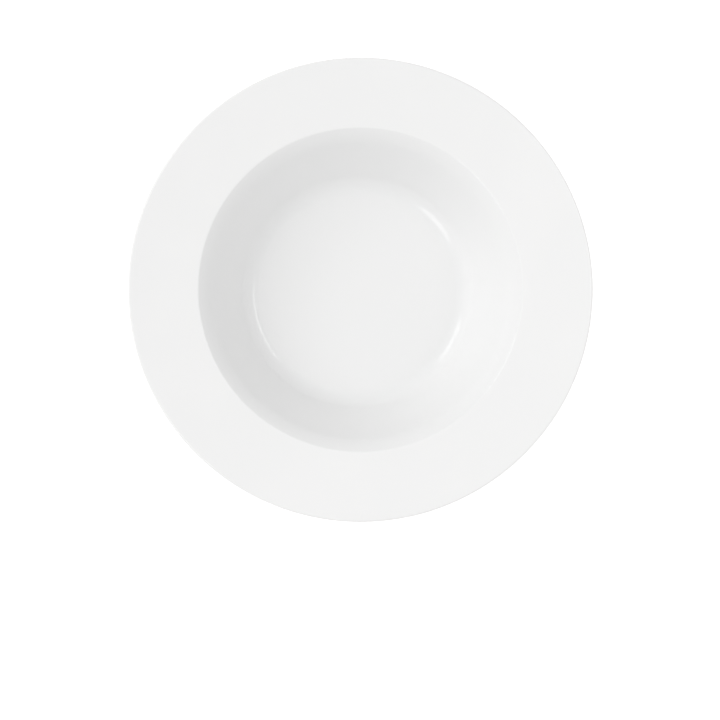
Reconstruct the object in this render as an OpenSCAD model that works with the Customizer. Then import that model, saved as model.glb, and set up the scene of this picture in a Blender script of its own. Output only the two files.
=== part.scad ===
// Rimmed soup plate in white glazed porcelain.
// The origin is the middle of the plane that the plate stands on, and +Z is up.
// All sizes are in millimetres and are those of the finished, glazed plate.

/* [Plate] */
// Diameter over the rim
plate_d = 240; // [220:1:280]
// Height from the table to the highest line of the rim
plate_h = 37; // [33:1:42]

/* [Rim] */
// Diameter of the well's edge, the clear line where the rim ends
well_d = 167.6; // [160:0.2:174]
// Fall of the rim's face from its edge to the well
rim_drop = 1.1; // [0:0.1:3]
// Thickness of the rim at its outer edge
rim_edge_t = 2.4; // [2:0.1:4]
// Thickness of the rim where it grows out of the wall
rim_root_t = 3.4; // [2.6:0.1:5]
// Rounding of the outer edge on its upper side
edge_top_r = 1.4; // [0.8:0.1:1.8]
// Rounding of the outer edge on its lower side
edge_low_r = 0.85; // [0.6:0.05:1.2]
// Rounding of the well's edge
well_edge_r = 1.6; // [1:0.1:2.5]
// Fillet in the corner under the rim
rim_root_r = 3; // [1:0.1:6]

/* [Bowl] */
// Width of the shoulder that leads from the well's edge down to the wall
shoulder_w = 4.5; // [3.5:0.1:6]
// Slope of the shoulder, in degrees from level
shoulder_slope = 33; // [28:1:40]
// Radius that eases the shoulder into the wall
shoulder_r = 22; // [10:1:30]
// Thickness of the wall under the shoulder, square to its outer face
wall_t = 4.9; // [4:0.1:6]
// Slope of the wall's straight upper part on the outside, in degrees from level
wall_slope = 54; // [50:1:58]
// Slope of the wall inside, a little less, so that the wall thickens on its way down
wall_slope_in = 52; // [50:1:54]
// Height at which the outside of the wall meets the line of the bowl's lower part
turn_h = 11.2; // [9:0.1:14]
// Radius of the turn between those two lines
turn_out_r = 58; // [30:1:60]

/* [Floor] */
// Thickness of the floor in the middle
floor_t = 4.7; // [4:0.1:6]
// Diameter within which the floor is level
floor_flat_d = 80; // [50:1:90]
// Rise of the floor from there to its edge
floor_rise = 0.8; // [0.2:0.1:1.5]
// Radius that eases the level middle into that rise
floor_ease_r = 500; // [200:10:600]
// Radius of the hollow where the floor turns up into the wall
floor_edge_r = 13; // [9:0.5:18]

/* [Foot] */
// Diameter of the foot ring where it grows out of the bowl
foot_d = 112.4; // [106:0.1:118]
// Height of the foot ring on its outside
foot_h = 3.3; // [2.6:0.1:4.5]
// Width of the foot ring between its lower corners
foot_w = 4; // [3.4:0.1:6]
// Depth of the recess inside the foot ring
recess_h = 2.8; // [2.2:0.1:4]
// Lean of the foot ring's two sides, in degrees from upright
foot_lean = 21; // [10:1:30]
// Rounding of the foot ring's lower corners, which stay free of glaze
foot_edge_r = 1.2; // [0.6:0.1:1.5]
// Fillets where the foot ring meets the bowl and the recess
foot_root_r = 0.9; // [0.4:0.1:1.5]

/* [Glaze] */
// Thickness of the glaze
glaze_t = 0.3; // [0.2:0.05:0.5]

/* [Hidden] */

// Sides of a full turn
$fn = 96;
// Largest turn, in degrees, between two points of a rounded corner, and the fewest steps there
arc_step = 7.5;
arc_least_steps = 4;

// Shares of the shorter neighbouring line that a rounding may take up. Two roundings on one
// line never take more than the whole of it.
small_share = 0.2;
half_share = 0.5;
edge_top_share = 0.63;
edge_low_share = 0.37;
turn_share = 0.8;

// The corner of the rim's edge stands above the rim's highest line by what its rounding takes
rim_slope = atan(rim_drop / (plate_d / 2 - well_d / 2));
edge_corner_z = plate_h + edge_top_r * (tan(rim_slope) + 1 / cos(rim_slope) - 1);

// Heights
well_z = edge_corner_z - rim_drop;
floor_z = recess_h + floor_t;
floor_edge_z = floor_z + floor_rise;

// The foot's lower corners lie a glaze thickness below the table, because the outline is
// that of a plate glazed all over, and the glaze is left off there.
foot_low_out = foot_d / 2 - (foot_h + glaze_t) * tan(foot_lean);
foot_low_in = foot_low_out - foot_w;
recess_r = foot_low_in - (recess_h + glaze_t) * tan(foot_lean);

// Directions up the wall, outside and inside, and along the underside of the rim
up_wall = [cos(wall_slope), sin(wall_slope)];
up_wall_in = [cos(wall_slope_in), sin(wall_slope_in)];
along_rim = [plate_d / 2 - well_d / 2, rim_drop + rim_root_t - rim_edge_t];

// Where the lines of the section meet, each written [radius, height]
foot_root = [foot_d / 2, foot_h];
well_edge = [well_d / 2, well_z];
rim_under = [well_d / 2, well_z - rim_root_t];
shoulder = well_edge - shoulder_w * [1, tan(shoulder_slope)];
wall_out = shoulder + wall_t * [up_wall[1], -up_wall[0]];
rim_root = meet(wall_out, up_wall, rim_under, along_rim);
turn_out = wall_out - up_wall * (wall_out[1] - turn_h) / up_wall[1];
floor_edge = meet(shoulder, up_wall_in, [0, floor_edge_z], [1, 0]);

// The whole outline as corners, each [radius, height, rounding, share], from the middle of the
// recess outwards along the underside, round the rim's edge and back in along the face
RECESS_CORNERS = [
    [0, recess_h, 0, 0],
    [recess_r, recess_h, foot_root_r, half_share],
];
FOOT_CORNERS = [
    [foot_low_in, -glaze_t, foot_edge_r, half_share],
    [foot_low_out, -glaze_t, foot_edge_r, half_share],
];
COAT_CORNERS = [
    [foot_root[0], foot_root[1], foot_root_r, small_share],
    [turn_out[0], turn_out[1], turn_out_r, turn_share],
    [rim_root[0], rim_root[1], rim_root_r, small_share],
    [plate_d / 2, edge_corner_z - rim_edge_t, edge_low_r, edge_low_share],
    [plate_d / 2, edge_corner_z, edge_top_r, edge_top_share],
    [well_edge[0], well_edge[1], well_edge_r, small_share],
    [shoulder[0], shoulder[1], shoulder_r, turn_share],
    [floor_edge[0], floor_edge[1], floor_edge_r, half_share],
    [floor_flat_d / 2, floor_z, floor_ease_r, half_share],
    [0, floor_z, 0, 0],
];
CORNERS = concat(RECESS_CORNERS, FOOT_CORNERS, COAT_CORNERS);

// The finished surface as points with their outward normals, and the body's surface under it
OUTLINE = [for (i = [0 : len(CORNERS) - 1]) each rounded(i)];
BODY_LINE = [for (p = OUTLINE) [p[0], p[1]] - glaze_t * [p[2], p[3]]];

// The glaze stops where the roundings of the foot's lower corners end
recess_end = points_before(len(RECESS_CORNERS));
coat_start = points_before(len(RECESS_CORNERS) + len(FOOT_CORNERS)) - 1;

function unit(v) = v / norm(v);

// Point at which the line through p along u crosses the line through q along v
function meet(p, u, q, v) = p + u * cross(q - p, v) / cross(u, v);

function place(i) = [CORNERS[i][0], CORNERS[i][1]];

// Corner i as a list of [radius, height, normal's radius, normal's height]. The outline turns
// left at a convex corner and right at a hollow one, and its outside is on its right.
function rounded(i) =
    CORNERS[i][2] == 0 ? [[place(i)[0], place(i)[1], 0, i == 0 ? -1 : 1]] :
    let (
        back = place(i - 1) - place(i),
        ahead = place(i + 1) - place(i),
        half = acos(unit(back) * unit(ahead)) / 2,
        side = sign(cross(ahead, back)),
        reach = min(CORNERS[i][2] / tan(half), CORNERS[i][3] * min(norm(back), norm(ahead))),
        radius = reach * tan(half),
        centre = place(i) + unit(unit(back) + unit(ahead)) * radius / sin(half),
        first = atan2(side * back[0], -side * back[1]),
        turn = side * (180 - 2 * half),
        steps = max(arc_least_steps, ceil(abs(turn) / arc_step))
    )
    [for (n = [0 : steps])
        let (a = first + turn * n / steps, out = [cos(a), sin(a)])
        [centre[0] + radius * out[0], centre[1] + radius * out[1], side * out[0], side * out[1]]];

// How many points of the outline come before corner i
function points_before(i) = i == 0 ? 0 : len(rounded(i - 1)) + points_before(i - 1);

// Section of the skin between two points of the outline
function skin(first, last) = concat(
    [for (i = [first : last]) [OUTLINE[i][0], OUTLINE[i][1]]],
    [for (i = [last : -1 : first]) BODY_LINE[i]]
);

// The fired body: floor, wall, rim and bare foot ring, turned in one piece
module porcelain_body() {
    color("ivory") rotate_extrude() polygon(BODY_LINE);
}

// The glaze over the face, round the rim's edge and down the outside to the foot ring
module glaze_coat() {
    color("white") rotate_extrude() polygon(skin(coat_start, len(OUTLINE) - 1));
}

// The glaze inside the foot ring
module recess_glaze() {
    color("whitesmoke") rotate_extrude() polygon(skin(0, recess_end));
}

porcelain_body();
glaze_coat();
recess_glaze();
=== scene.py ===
import math

import bpy
import numpy as np
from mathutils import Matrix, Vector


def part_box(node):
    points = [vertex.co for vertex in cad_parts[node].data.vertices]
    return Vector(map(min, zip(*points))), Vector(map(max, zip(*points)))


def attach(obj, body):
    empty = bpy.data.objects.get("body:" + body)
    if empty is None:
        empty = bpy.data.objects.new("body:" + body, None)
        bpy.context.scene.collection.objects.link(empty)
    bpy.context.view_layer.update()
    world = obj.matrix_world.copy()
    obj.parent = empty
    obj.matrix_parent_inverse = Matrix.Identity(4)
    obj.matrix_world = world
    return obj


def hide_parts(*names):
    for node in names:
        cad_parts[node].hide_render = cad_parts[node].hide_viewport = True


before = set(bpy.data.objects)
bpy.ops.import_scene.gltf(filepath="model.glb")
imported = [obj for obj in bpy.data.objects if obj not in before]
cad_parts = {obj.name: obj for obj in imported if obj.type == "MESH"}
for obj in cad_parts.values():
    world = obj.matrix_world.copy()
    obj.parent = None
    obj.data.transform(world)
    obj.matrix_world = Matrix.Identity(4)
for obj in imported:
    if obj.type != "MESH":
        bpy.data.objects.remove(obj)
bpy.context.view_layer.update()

# The fired body. A rimmed soup plate is pressed from porcelain clay in one piece, with its
# broad flat rim, sloping wall, level floor and foot ring, and is turned smooth. The foot
# ring's lower face stays free of glaze, and is ground after the firing so that it sits flat.
MM = 0.001
PLATE_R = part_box("glaze_coat")[1].x
PLATE_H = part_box("glaze_coat")[1].z
GLAZE_T = 0.3 * MM
RIM_DROP = 1.1 * MM  # fall of the rim's face from its edge to the well
RIM_EDGE_T, RIM_ROOT_T = 2.4 * MM, 3.4 * MM
EDGE_TOP_R, EDGE_LOW_R, RIM_ROOT_R = 1.4 * MM, 0.85 * MM, 3 * MM
WELL_R, WELL_EDGE_R = 83.8 * MM, 1.6 * MM
SHOULDER_W, SHOULDER_SLOPE, SHOULDER_R = 4.5 * MM, math.radians(33), 22 * MM
WALL_T = 4.9 * MM  # under the shoulder, square to the outside
WALL_SLOPE, WALL_SLOPE_IN = math.radians(54), math.radians(52)
TURN_H, TURN_R = 11.2 * MM, 58 * MM  # where the bowl's outside turns in, and how tightly
FLOOR_Z, FLOOR_FLAT_R, FLOOR_RISE = 7.5 * MM, 40 * MM, 0.8 * MM
FLOOR_EASE_R, FLOOR_EDGE_R = 500 * MM, 13 * MM
FOOT_R, FOOT_H, FOOT_W = 56.2 * MM, 3.3 * MM, 4.0 * MM
FOOT_LEAN = math.tan(math.radians(21))  # of each side towards the other, on the way down
FOOT_EDGE_R, FOOT_ROOT_R = 1.2 * MM, 0.9 * MM
RECESS_H = 2.8 * MM


def crossing(p, u, q, v):
    """Point at which the line through p along u meets the line through q along v: p plus u
    times the ratio of the two cross products."""
    (px, pz), (ux, uz), (qx, qz), (vx, vz) = p, u, q, v
    share = ((qx - px) * vz - (qz - pz) * vx) / (ux * vz - uz * vx)
    return np.array([px + share * ux, pz + share * uz])


def section_corners():
    """The plate's section as corners in radius and height, from the middle of the recess
    outwards along the underside, round the rim and back in over the face. Each has the radius
    that rounds it. The foot's lower corners lie a glaze thickness under the table, because
    this is the outline of a plate glazed all over."""
    up = np.array([math.cos(WALL_SLOPE), math.sin(WALL_SLOPE)])
    up_in = np.array([math.cos(WALL_SLOPE_IN), math.sin(WALL_SLOPE_IN)])
    well = np.array([WELL_R, PLATE_H - RIM_DROP])
    shoulder = well - SHOULDER_W * np.array([1, math.tan(SHOULDER_SLOPE)])
    wall_out = shoulder + WALL_T * np.array([up[1], -up[0]])
    under = np.array([WELL_R, PLATE_H - RIM_DROP - RIM_ROOT_T])
    edge_under = np.array([PLATE_R, PLATE_H - RIM_EDGE_T])
    foot_out = FOOT_R - (FOOT_H + GLAZE_T) * FOOT_LEAN
    foot_in = foot_out - FOOT_W
    recess_r = foot_in - (RECESS_H + GLAZE_T) * FOOT_LEAN
    return [
        ((0, RECESS_H), 0),
        ((recess_r, RECESS_H), FOOT_ROOT_R),
        ((foot_in, -GLAZE_T), FOOT_EDGE_R),
        ((foot_out, -GLAZE_T), FOOT_EDGE_R),
        ((FOOT_R, FOOT_H), FOOT_ROOT_R),
        (wall_out - up * (wall_out[1] - TURN_H) / up[1], TURN_R),
        (crossing(wall_out, up, under, edge_under - under), RIM_ROOT_R),
        (edge_under, EDGE_LOW_R),
        ((PLATE_R, PLATE_H), EDGE_TOP_R),
        (well, WELL_EDGE_R),
        (shoulder, SHOULDER_R),
        (crossing(shoulder, up_in, (0, FLOOR_Z + FLOOR_RISE), (1, 0)), FLOOR_EDGE_R),
        ((FLOOR_FLAT_R, FLOOR_Z), FLOOR_EASE_R),
        ((0, FLOOR_Z), 0),
    ]


def outline_of(corners, arc_steps=40):
    """Points along the rounded outline: each corner becomes an arc that touches both of its
    lines, round a centre on their bisector, at the radius over the sine of half the corner."""
    places = [np.array(place, float) for place, _ in corners]
    points = [places[0][None]]
    for before, here, after, (_, radius) in zip(places, places[1:], places[2:], corners[1:]):
        back = (before - here) / np.linalg.norm(before - here)
        ahead = (after - here) / np.linalg.norm(after - here)
        half = math.acos(float(np.clip(back @ ahead, -1, 1))) / 2
        bisector = (back + ahead) / np.linalg.norm(back + ahead)
        centre = here + bisector * radius / math.sin(half)
        swing = np.linspace(half - math.pi / 2, math.pi / 2 - half, arc_steps)[:, None]
        across = np.array([-bisector[1], bisector[0]])
        side = math.copysign(1, float(across @ ahead))
        points.append(centre - radius * (bisector * np.cos(swing) - side * across * np.sin(swing)))
    points.append(places[-1][None])
    return np.vstack(points)


def softened(points, reach, step=0.05 * MM):
    """The outline at even steps of its own length, averaged over a bell curve of the given
    reach, as glaze that flows before it sets eases every change of bend. The outline is
    carried past both ends, mirrored in the axis, so that the middle stays level."""
    length = np.r_[0, np.cumsum(np.linalg.norm(np.diff(points, axis=0), axis=1))]
    s = np.linspace(0, length[-1], int(length[-1] / step))
    line = np.c_[np.interp(s, length, points[:, 0]), np.interp(s, length, points[:, 1])]
    pad = int(4 * reach / step)
    flip = np.array([-1, 1])
    wide = np.vstack([line[pad:0:-1] * flip, line, line[-2:-pad - 2:-1] * flip])
    bell = np.exp(-0.5 * (np.arange(-pad, pad + 1) * step / reach) ** 2)
    bell /= bell.sum()
    line = np.c_[np.convolve(wide[:, 0], bell, "valid"), np.convolve(wide[:, 1], bell, "valid")]
    line[[0, -1], 0] = 0
    return s, line


GLAZE_FLOW = 0.22 * MM
OUTLINE_S, OUTLINE = softened(outline_of(section_corners()), GLAZE_FLOW)
TANGENT = np.gradient(OUTLINE, OUTLINE_S, axis=0)
TANGENT /= np.linalg.norm(TANGENT, axis=1)[:, None]
TANGENT[[0, -1]] = [[1, 0], [-1, 0]]  # level where the outline meets the axis
BEND = np.unwrap(np.arctan2(TANGENT[:, 1], TANGENT[:, 0]))


def rows_between(first, last, bend_step=math.radians(3), length_step=4 * MM):
    """Places along the outline from first to last, closer together where it bends: equal steps
    of length plus turn."""
    inside = (OUTLINE_S >= first) & (OUTLINE_S <= last)
    s, bend = OUTLINE_S[inside], BEND[inside]
    weight = np.r_[0, np.cumsum(np.abs(np.diff(bend)) / bend_step + np.diff(s) / length_step)]
    count = int(math.ceil(weight[-1])) + 1
    return np.interp(np.linspace(0, weight[-1], count), weight, s)


AROUND = 320
ANGLE = np.linspace(0, 2 * math.pi, AROUND, endpoint=False)[None, :]
RIM_WAVES = ((0.07 * MM, 2, 0.7), (0.04 * MM, 3, 2.1))  # height, count in a turn, start


def surface(s, depth):
    """Radius and height all round the turn at outline place s, sunk by depth square to the
    finished surface. The rim of a fired plate is never quite true: it rises and falls by a
    tenth of a millimetre, in two and three cosine waves to the turn, with the fourth power of
    the radius."""
    s, depth, _ = np.broadcast_arrays(s, depth, ANGLE)
    r = np.interp(s, OUTLINE_S, OUTLINE[:, 0]) - depth * np.interp(s, OUTLINE_S, TANGENT[:, 1])
    z = np.interp(s, OUTLINE_S, OUTLINE[:, 1]) + depth * np.interp(s, OUTLINE_S, TANGENT[:, 0])
    warp = sum(height * np.cos(count * ANGLE + start) for height, count, start in RIM_WAVES)
    return r, z + warp * (r / PLATE_R) ** 4


def put(name, data):
    """A new object in the scene, at the origin."""
    thing = bpy.data.objects.new(name, data)
    bpy.context.scene.collection.objects.link(thing)
    return thing


def turned(name, r, z):
    """A closed solid of revolution: x and y are the radius times the cosine and sine of the
    angle round the turn. Rows of r and z run from the axis back to the axis, with the outside
    on the right of the way they go; the first and last rows become one point."""
    rows = len(r) - 2
    x, y = r[1:-1] * np.cos(ANGLE), r[1:-1] * np.sin(ANGLE)
    rings = np.stack([x, y, z[1:-1]], axis=-1).reshape(-1, 3)
    verts = np.vstack([rings, [[0, 0, z[0].mean()], [0, 0, z[-1].mean()]]])
    i, j = np.meshgrid(np.arange(rows - 1), np.arange(AROUND), indexing="ij")
    here, ahead = i * AROUND + j, i * AROUND + (j + 1) % AROUND
    quads = np.stack([here, ahead, ahead + AROUND, here + AROUND], axis=-1).reshape(-1, 4)
    k = np.arange(AROUND)
    first, last = rows * AROUND, rows * AROUND + 1
    near = np.stack([np.full(AROUND, first), (k + 1) % AROUND, k], axis=-1)
    tail = (rows - 1) * AROUND
    far = np.stack([np.full(AROUND, last), tail + k, tail + (k + 1) % AROUND], axis=-1)
    mesh = bpy.data.meshes.new(name)
    mesh.from_pydata(verts.tolist(), [], quads.tolist() + near.tolist() + far.tolist())
    mesh.polygons.foreach_set("use_smooth", np.ones(len(mesh.polygons), bool))
    return put(name, mesh)


class Finish:
    """The nodes of a material or of the room, with calls that make a node and feed it."""

    def __init__(self, owner):
        owner.use_nodes = True
        self.nodes, self.links = owner.node_tree.nodes, owner.node_tree.links

    def feed(self, node, feeds):
        """Gives each input named in feeds its value, or links it to an output."""
        for key, value in feeds.items():
            if isinstance(value, bpy.types.NodeSocket):
                self.links.new(value, node.inputs[key])
            else:
                node.inputs[key].default_value = value
        return node

    def node(self, kind, feeds=None, **settings):
        """A new node: settings are its own, and feeds are for its inputs."""
        new = self.nodes.new(kind)
        for key, value in settings.items():
            setattr(new, key, value)
        return self.feed(new, feeds or {})

    def noise(self, where, scale, detail, roughness=0.5):
        """Soft patches from 0 to 1, scale of them in a metre, with finer ones laid over them."""
        feeds = {"Vector": where, "Scale": scale, "Detail": detail, "Roughness": roughness}
        return self.node("ShaderNodeTexNoise", feeds).outputs["Fac"]

    def band(self, value, edges, ends):
        """value carried from the range edges to the range ends along a smooth step."""
        feeds = {0: value, 1: edges[0], 2: edges[1], 3: ends[0], 4: ends[1]}
        node = self.node("ShaderNodeMapRange", feeds, interpolation_type="SMOOTHSTEP")
        return node.outputs[0]

    def mix(self, share, first, second):
        """The first colour with a share of the second."""
        node = self.node("ShaderNodeMix", {0: share, 6: first, 7: second}, data_type="RGBA")
        return node.outputs[2]

    def reckon(self, how, first, second=0.0):
        """One number worked out of two, in the way that how names."""
        return self.node("ShaderNodeMath", {0: first, 1: second}, operation=how).outputs[0]

    def radius(self, where):
        """Distance from the plate's axis."""
        flat = self.node("ShaderNodeVectorMath", {0: where, 1: (1, 1, 0)}, operation="MULTIPLY")
        feeds = {0: flat.outputs[0]}
        return self.node("ShaderNodeVectorMath", feeds, operation="LENGTH").outputs["Value"]

    def bump(self, height, depth, under=None):
        """The surface's normal where height from 0 to 1 stands depth high, on top of under."""
        feeds = {"Height": height, "Distance": depth, "Strength": 1.0}
        if under is not None:
            feeds["Normal"] = under
        return self.node("ShaderNodeBump", feeds).outputs["Normal"]

    def seen(self):
        """1 on rays from the lens and from glossy surfaces, 0 on those that carry light."""
        rays = self.node("ShaderNodeLightPath").outputs
        return self.reckon("MAXIMUM", rays["Is Camera Ray"], rays["Is Glossy Ray"])

    def either(self, share, first, second):
        """The first shader with a share of the second."""
        return self.node("ShaderNodeMixShader", {0: share, 1: first, 2: second}).outputs[0]


# Bare fired porcelain: matt, faintly sandy, and greyed a little where it slides on shelves.
FIRED_CLAY, FIRED_SAND = (0.82, 0.805, 0.775, 1), (0.87, 0.86, 0.835, 1)
SHELF_GREY, GREY_SHARE = (0.62, 0.61, 0.6, 1), 0.25
SAND_PER_M, RUBS_PER_M = 2600, 260
SAND_DEPTH, MATT = 0.03 * MM, 0.85
biscuit_material = bpy.data.materials.new("bare_porcelain")
biscuit = Finish(biscuit_material)
place = biscuit.node("ShaderNodeTexCoord").outputs["Object"]
sand = biscuit.noise(place, SAND_PER_M, detail=3, roughness=0.6)
rubbed = biscuit.noise(place, RUBS_PER_M, detail=3, roughness=0.6)
grey = biscuit.band(rubbed, (0.45, 0.7), (0.0, GREY_SHARE))
clay = biscuit.mix(biscuit.band(sand, (0.3, 0.7), (0.0, 1.0)), FIRED_CLAY, FIRED_SAND)
biscuit.feed(biscuit.nodes["Principled BSDF"], {
    "Base Color": biscuit.mix(grey, clay, SHELF_GREY),
    "Roughness": MATT,
    "Normal": biscuit.bump(sand, SAND_DEPTH),
})

body_rows = rows_between(0, OUTLINE_S[-1])[:, None]
body = turned("fired_body", *surface(body_rows, GLAZE_T))
body.data.materials.append(biscuit_material)
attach(body, "root")
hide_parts("porcelain_body")

# The glaze coat. One glassy skin covers the face, goes round the rim's edge and runs down
# the outside to the foot ring. It is poured on and fired to a hard gloss. It ends in a soft,
# slightly wandering bead where the foot ring was wiped clean.
COAT_END_R, GLAZE_END_Z = 55.11 * MM, 0.47 * MM
BEAD_W, BEAD_ROWS = 0.45 * MM, 9
BEAD_CLEAR = 1.1 * BEAD_W  # rows nearer to the edge than this give way to the bead's own
BEAD_SWELL, BEAD_SWELL_AT, BEAD_SWELL_W = 0.35, 0.9 * MM, 0.5 * MM
BEAD_WAVES = ((0.09 * MM, 5, 1), (0.05 * MM, 13, 4))  # height, count in a turn, start
BEAD_WAVES_REACH = 1.5 * MM


def outline_place(r, z):
    """The place along the outline that is nearest to radius r and height z."""
    return OUTLINE_S[np.argmin(np.abs(OUTLINE - (r, z)).sum(axis=1))]


def skin_rows(edge, centre, way):
    """A glaze skin's closed section, from the axis over its outer face to the bead and back
    over the body. way is +1 where the outline runs from the bead to the axis, or else -1. Near
    the bead the skin thickens by a third and then rounds off as a quarter of an ellipse, and
    its edge wanders in sine waves, by a tenth of a millimetre round the turn."""
    outer = rows_between(*sorted((edge, centre)))
    near = edge + way * BEAD_W * (1 - np.cos(np.linspace(0, math.pi / 2, BEAD_ROWS)))
    outer = np.r_[near, outer[np.abs(outer - edge) > BEAD_CLEAR][::way]]
    gap = np.abs(outer - edge)[:, None]
    wander = sum(height * np.sin(count * ANGLE + start) for height, count, start in BEAD_WAVES)
    s = outer[:, None] + way * wander * np.exp(-gap / BEAD_WAVES_REACH)
    swell = 1 + BEAD_SWELL * np.exp(-(((gap - BEAD_SWELL_AT) / BEAD_SWELL_W) ** 2))
    thick = GLAZE_T * swell * np.sqrt(1 - np.clip(1 - gap / BEAD_W, 0, 1) ** 2)
    outside = surface(s, GLAZE_T - thick)
    inside = surface(s[1:][::2], GLAZE_T)
    middle = surface(np.full((1, 1), centre), GLAZE_T)
    r, z = (np.vstack([out[::-1], back, end]) for out, back, end in zip(outside, inside, middle))
    return (r[::-1], z[::-1]) if way > 0 else (r, z)


# The first two whites differ only by painted sheen: outwards from the well's edge the glaze is
# painted a shade whiter than within it.
RIM_SHEEN_WHITE = (0.926, 0.925, 0.922, 1)
GLAZE_BASE_WHITE = (0.882, 0.882, 0.880, 1)
POOLED_WHITE = (0.873, 0.878, 0.877, 1)
LIP_WHITE = (0.912, 0.904, 0.888, 1)
SHEEN_FROM_R, SHEEN_TO_R = WELL_R - 0.5 * MM, WELL_R + 0.3 * MM
LIP_FROM, LIP_TO, LIP_SHARE = PLATE_R - 1.1 * MM, PLATE_R - 0.2 * MM, 0.8
CLOUDS_PER_M, CLOUD_SHARE = 16, 0.25
COAT_POOL_R, POOL_W, POOL_SHARE = 57 * MM, 4.5 * MM, 0.4
GLOSSES_PER_M, GLOSSIEST, DULLEST = 45, 0.07, 0.11
SWELLS_PER_M, SWELL_DEPTH = 55, 0.03 * MM
RIPPLES_PER_M, RIPPLE_DEPTH = 260, 0.004 * MM


def glossy(name, pool_r):
    """Clear glaze over white porcelain. Outwards from the well's edge, over the rim above and
    below, it is painted a shade whiter than within: a painted sheen that stands in for the rim's
    brighter light. It is cooler where it pools, in the hollow at radius pool_r, and warmer at the
    lip, where it is thinnest. Its surface has the faint swell and ripple that firing leaves."""
    material = bpy.data.materials.new(name)
    coat = Finish(material)
    place = coat.node("ShaderNodeTexCoord").outputs["Object"]
    radius = coat.radius(place)
    # Painted sheen: from the well's edge outwards the white steps up a shade.
    painted_rim_sheen = coat.band(radius, (SHEEN_FROM_R, SHEEN_TO_R), (0.0, 1.0))
    cloud = coat.band(coat.noise(place, CLOUDS_PER_M, detail=3), (0.35, 0.65), (0.0, CLOUD_SHARE))
    off_pool = coat.reckon("ABSOLUTE", coat.reckon("SUBTRACT", radius, pool_r))
    pool = coat.band(off_pool, (0.0, POOL_W), (POOL_SHARE, 0.0))
    lip = coat.band(radius, (LIP_FROM, LIP_TO), (0.0, LIP_SHARE))
    white = coat.mix(painted_rim_sheen, GLAZE_BASE_WHITE, RIM_SHEEN_WHITE)
    for share, other in ((cloud, POOLED_WHITE), (pool, POOLED_WHITE), (lip, LIP_WHITE)):
        white = coat.mix(share, white, other)
    swell = coat.bump(coat.noise(place, SWELLS_PER_M, detail=1), SWELL_DEPTH)
    patches = coat.noise(place, GLOSSES_PER_M, detail=4)
    coat.feed(coat.nodes["Principled BSDF"], {
        "Base Color": white,
        "Roughness": coat.band(patches, (0.3, 0.7), (GLOSSIEST, DULLEST)),
        "Normal": coat.bump(coat.noise(place, RIPPLES_PER_M, detail=1), RIPPLE_DEPTH, swell),
    })
    return material


coat_end = outline_place(COAT_END_R, GLAZE_END_Z)
coat_skin = turned("glaze_skin", *skin_rows(coat_end, OUTLINE_S[-1], 1))
coat_skin.data.materials.append(glossy("clear_glaze", COAT_POOL_R))
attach(coat_skin, "root")
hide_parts("glaze_coat")

# The glaze inside the foot ring. The same glaze covers the roof of the shallow recess under
# the floor, as a level pool that the bare foot ring parts from the coat outside.
RECESS_END_R, RECESS_POOL_R = 50.56 * MM, 49.6 * MM
recess_end = outline_place(RECESS_END_R, GLAZE_END_Z)
recess_skin = turned("recess_pool", *skin_rows(recess_end, OUTLINE_S[0], -1))
recess_skin.data.materials.append(glossy("recess_clear_glaze", RECESS_POOL_R))
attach(recess_skin, "root")
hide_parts("recess_glaze")

# The table: a wide pale board that keeps a soft shadow under the plate. Seen by the camera
# and in reflections it is lifted to paper white, as the photograph's background is.
TABLE_HALF = 3
TABLE_WHITE, LIGHT_WHITE = (0.9, 0.9, 0.9, 1), (1, 1, 1, 1)
LIFT = 0.5
corners = [(x * TABLE_HALF, y * TABLE_HALF, 0) for x, y in ((-1, -1), (1, -1), (1, 1), (-1, 1))]
board = bpy.data.meshes.new("table")
board.from_pydata(corners, [], [(0, 1, 2, 3)])
table = put("table", board)
table_material = bpy.data.materials.new("table_white")
top = Finish(table_material)
top.nodes.remove(top.nodes["Principled BSDF"])
plain = top.node("ShaderNodeBsdfDiffuse", {"Color": TABLE_WHITE}).outputs[0]
lift = top.node("ShaderNodeEmission", {"Color": LIGHT_WHITE, "Strength": LIFT}).outputs[0]
lifted = top.node("ShaderNodeAddShader", {0: plain, 1: lift}).outputs[0]
shown = top.either(top.seen(), plain, lifted)
top.feed(top.nodes["Material Output"], {"Surface": shown})
board.materials.append(table_material)

# The studio: a room of even white, large soft boxes on the left that round the forms, a near
# one low on the right, a faint one overhead, and three small lamps that the glaze mirrors in
# the hollow. Rays from the lens and from the glaze see the room as paper white.
ROOM_LIGHT, PAPER_WHITE = 0.474, 1.0
world = bpy.data.worlds.new("white_room")
bpy.context.scene.world = world
sky = Finish(world)
sky.nodes.clear()
room, backdrop = (
    sky.node("ShaderNodeBackground", {"Color": LIGHT_WHITE, "Strength": strength}).outputs[0]
    for strength in (ROOM_LIGHT, PAPER_WHITE))
sky.node("ShaderNodeOutputWorld", {"Surface": sky.either(sky.seen(), room, backdrop)})


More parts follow.
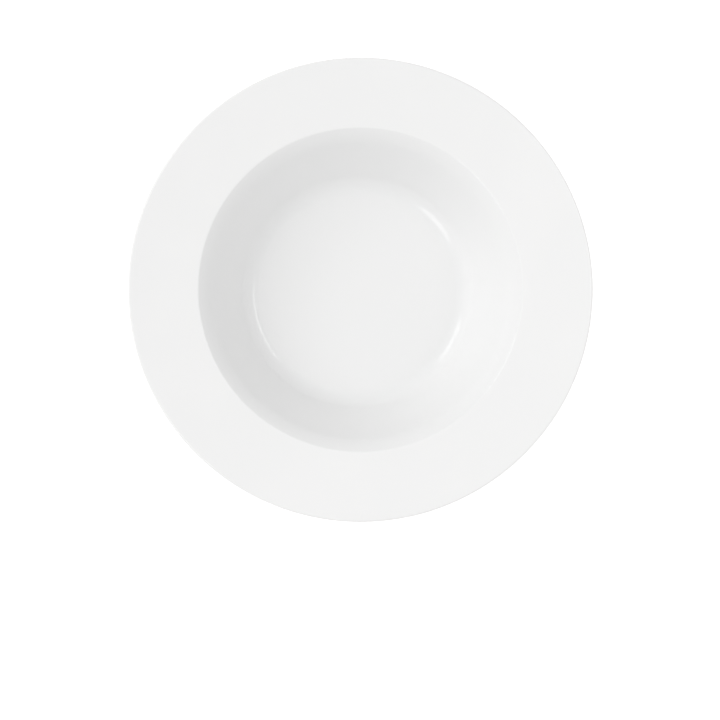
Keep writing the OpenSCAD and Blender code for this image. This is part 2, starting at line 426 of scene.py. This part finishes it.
def soft_box(name, azimuth, zenith, distance, width, height, brightness, mirrored=False):
    """A soft box that faces the plate's middle. Azimuth runs from the right of the photograph
    towards its top, and zenith is the angle from straight above. width and height are the
    angles that it fills, seen from the plate: twice the distance times the tangent of half the
    angle. brightness is its face's, in shares of white. A polarizing sheet keeps it out of the
    glaze, unless it is mirrored."""
    across, high = (2 * distance * math.tan(math.radians(angle) / 2) for angle in (width, height))
    lamp = bpy.data.lights.new(name, "AREA")
    lamp.shape = "RECTANGLE"
    lamp.size, lamp.size_y = high, across
    lamp.energy = brightness * math.pi * across * high
    box = put(name, lamp)
    turn, tilt = math.radians(azimuth), math.radians(zenith)
    aim = (math.sin(tilt) * math.cos(turn), math.sin(tilt) * math.sin(turn), math.cos(tilt))
    box.location = [distance * share for share in aim]
    box.rotation_euler = (0, tilt, turn)
    box.visible_camera = False
    box.visible_glossy = mirrored


# Azimuth and zenith in degrees, distance in metres, width and height in degrees, brightness
soft_box("left_box", 152, 54, 6, 34, 32, 1.55)
soft_box("low_left_box", 145, 68, 6, 40, 14, 1.6)
soft_box("front_left_box", 196, 52, 6, 46, 34, 1.1)
soft_box("back_left_panel", 146, 38, 3, 16, 17, 1.9, mirrored=True)
soft_box("overhead_box", 0, 1, 2, 66, 66, 0.25)
soft_box("right_box", 340, 60, 1, 40, 30, 1.45)
soft_box("right_strip", 22, 27, 3, 17, 6, 3.0, mirrored=True)
soft_box("front_left_panel", 222, 33, 3, 14, 19, 2.0, mirrored=True)

# The camera looks straight down from the height that the side view's perspective gives. It
# stands a little to the left and in front of the plate's middle, which moves the floor against
# the rim as the photograph shows. The lens shift puts the rim where it lies in the picture.
FRAME_PX, FOCAL_PX, SENSOR_W = 720, 754, 36
RIM_PX = 232.3  # radius of the rim's circle in the photograph
CENTRE_PX = (360.4, 289.84)  # middle of that circle, from the left and from the top
RIM_TIP_Z = 35.6 * MM  # height of the rim's outermost line, which draws the circle
EYE_X, EYE_Y = -27 * MM, -23 * MM
camera = bpy.data.cameras.new("camera")
camera.sensor_width = SENSOR_W
camera.lens = SENSOR_W * FOCAL_PX / FRAME_PX
camera.shift_x = (FRAME_PX / 2 - EYE_X * RIM_PX / PLATE_R - CENTRE_PX[0]) / FRAME_PX
camera.shift_y = (CENTRE_PX[1] - FRAME_PX / 2 - EYE_Y * RIM_PX / PLATE_R) / FRAME_PX
eye = put("camera", camera)
eye.location = (EYE_X, EYE_Y, RIM_TIP_Z + FOCAL_PX * PLATE_R / RIM_PX)
bpy.context.scene.camera = eye
bpy.context.scene.view_settings.view_transform = "Standard"
